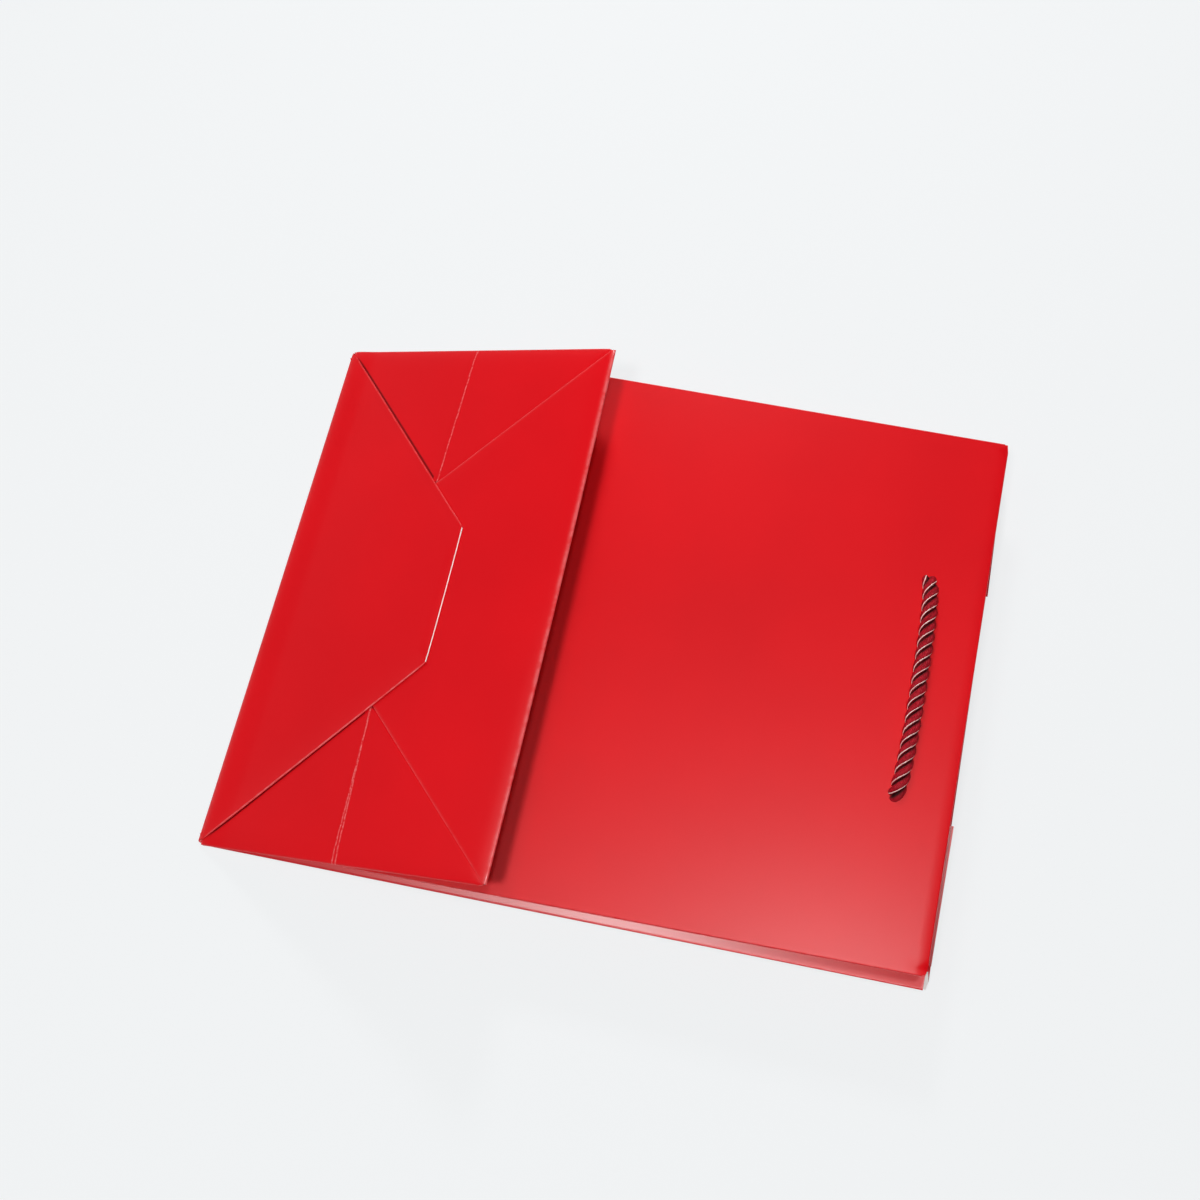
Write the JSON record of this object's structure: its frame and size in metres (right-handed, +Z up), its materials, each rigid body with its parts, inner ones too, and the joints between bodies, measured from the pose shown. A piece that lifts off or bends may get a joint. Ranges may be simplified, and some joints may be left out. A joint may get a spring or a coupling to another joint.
{
  "type": "paper carrier bag",
  "caption": "Paper carrier bag folded flat: gusseted sides, block bottom folded up over the front, and twisted rope handles.",
  "frame": {"origin": "centre of the bottom of the box around the paper parts, on the surface that the bag lies on", "axes": "+X from the bottom fold towards the mouth, +Y across the width, +Z up; the bag lies on its back wall with the base folded up over the front"},
  "size_m": [0.2622, 0.2, 0.0469],
  "materials": {
    "red_paper": "satin film over a red print, white inside and at cut edges",
    "white_card": "plain matte white board",
    "rope": "shiny twisted three-strand cord in dark red"
  },
  "bodies": {
    "back_wall": {"back_panel": "red_paper", "back_top_hem": "red_paper", "back_reinforcing_card": "white_card", "side_seam_tab": "red_paper", "back_handle_cord": "rope", "back_handle_knots": "rope"},
    "base": {"base_board": "white_card", "base_inner_flap": "red_paper", "base_outer_flap": "red_paper", "near_base_side_flap": "red_paper", "far_base_side_flap": "red_paper"},
    "front_strip": {"front_lower_strip": "red_paper"},
    "front_wall": {"front_panel": "red_paper", "front_top_hem": "red_paper", "front_reinforcing_card": "white_card", "front_handle_cord": "rope", "front_handle_knots": "rope"},
    "near_gusset_back": {"near_gusset_back_half": "red_paper", "near_gusset_back_hem": "red_paper"},
    "near_gusset_front": {"near_gusset_front_half": "red_paper", "near_gusset_front_hem": "red_paper"},
    "near_base_triangle": {"near_base_triangle": "red_paper"},
    "near_strip_triangle": {"near_strip_triangle": "red_paper"},
    "far_gusset_back": {"far_gusset_back_half": "red_paper", "far_gusset_back_hem": "red_paper"},
    "far_gusset_front": {"far_gusset_front_half": "red_paper", "far_gusset_front_hem": "red_paper"},
    "far_base_triangle": {"far_base_triangle": "red_paper"},
    "far_strip_triangle": {"far_strip_triangle": "red_paper"}
  },
  "joints": [
    {"name": "base_fold", "type": "hinge", "parent": "back_wall", "child": "base", "pos_m": [-0.13079, 0, 0.00035], "axis": [0, -1, 0], "range_deg": [0, 68.5], "deforming": ["near_gusset_back_half", "near_gusset_back_hem", "near_gusset_front_half", "near_gusset_front_hem", "near_base_triangle", "near_strip_triangle", "far_gusset_back_half", "far_gusset_back_hem", "far_gusset_front_half", "far_gusset_front_hem", "far_base_triangle", "far_strip_triangle"]},
    {"name": "front_strip_fold", "type": "hinge", "parent": "base", "child": "front_strip", "pos_m": [-0.02186, 0, 0.04572], "axis": [0, -1, 0], "range_deg": [0, 88.06]},
    {"name": "front_wall_fold", "type": "hinge", "parent": "front_strip", "child": "front_wall", "pos_m": [-0.07498, 0, 0.02003], "axis": [0, -1, 0], "range_deg": [-156.56, 0]},
    {"name": "near_gusset_back_fold", "type": "hinge", "parent": "back_wall", "child": "near_gusset_back", "pos_m": [-0.1308, -0.1, 0.00065], "axis": [0.9997, 0, 0.025], "range_deg": [0, 81.87]},
    {"name": "near_gusset_front_fold", "type": "hinge", "parent": "front_wall", "child": "near_gusset_front", "pos_m": [-0.07496, -0.1, 0.01935], "axis": [-0.9997, 0, -0.025], "range_deg": [0, 81.87]},
    {"name": "near_base_triangle_fold", "type": "hinge", "parent": "base", "child": "near_base_triangle", "pos_m": [-0.13057, -0.1, -0.00016], "axis": [-0.921, 0, -0.3896], "range_deg": [0, 89.13]},
    {"name": "near_strip_triangle_fold", "type": "hinge", "parent": "front_strip", "child": "near_strip_triangle", "pos_m": [-0.02161, -0.1, 0.04518], "axis": [0.9073, 0, 0.4205], "range_deg": [0, 89.13]},
    {"name": "far_gusset_back_fold", "type": "hinge", "parent": "back_wall", "child": "far_gusset_back", "pos_m": [-0.1308, 0.1, 0.00065], "axis": [-0.9997, 0, -0.025], "range_deg": [0, 81.87]},
    {"name": "far_gusset_front_fold", "type": "hinge", "parent": "front_wall", "child": "far_gusset_front", "pos_m": [-0.07496, 0.1, 0.01935], "axis": [0.9997, 0, 0.025], "range_deg": [0, 81.87]},
    {"name": "far_base_triangle_fold", "type": "hinge", "parent": "base", "child": "far_base_triangle", "pos_m": [-0.13057, 0.1, -0.00016], "axis": [0.921, 0, 0.3896], "range_deg": [0, 89.13]},
    {"name": "far_strip_triangle_fold", "type": "hinge", "parent": "front_strip", "child": "far_strip_triangle", "pos_m": [-0.02161, 0.1, 0.04518], "axis": [-0.9073, 0, -0.4205], "range_deg": [0, 89.13]}
  ],
  "couplings": [
    {"joint": "front_strip_fold", "follows": "base_fold", "ratio": 1.2855},
    {"joint": "front_wall_fold", "follows": "base_fold", "ratio": -2.2855},
    {"joint": "near_gusset_back_fold", "follows": "base_fold", "ratio": 1.1952},
    {"joint": "near_gusset_front_fold", "follows": "base_fold", "ratio": 1.1952},
    {"joint": "near_base_triangle_fold", "follows": "base_fold", "ratio": 1.3011},
    {"joint": "near_strip_triangle_fold", "follows": "base_fold", "ratio": 1.3011},
    {"joint": "far_gusset_back_fold", "follows": "base_fold", "ratio": 1.1952},
    {"joint": "far_gusset_front_fold", "follows": "base_fold", "ratio": 1.1952},
    {"joint": "far_base_triangle_fold", "follows": "base_fold", "ratio": 1.3011},
    {"joint": "far_strip_triangle_fold", "follows": "base_fold", "ratio": 1.3011}
  ]
}
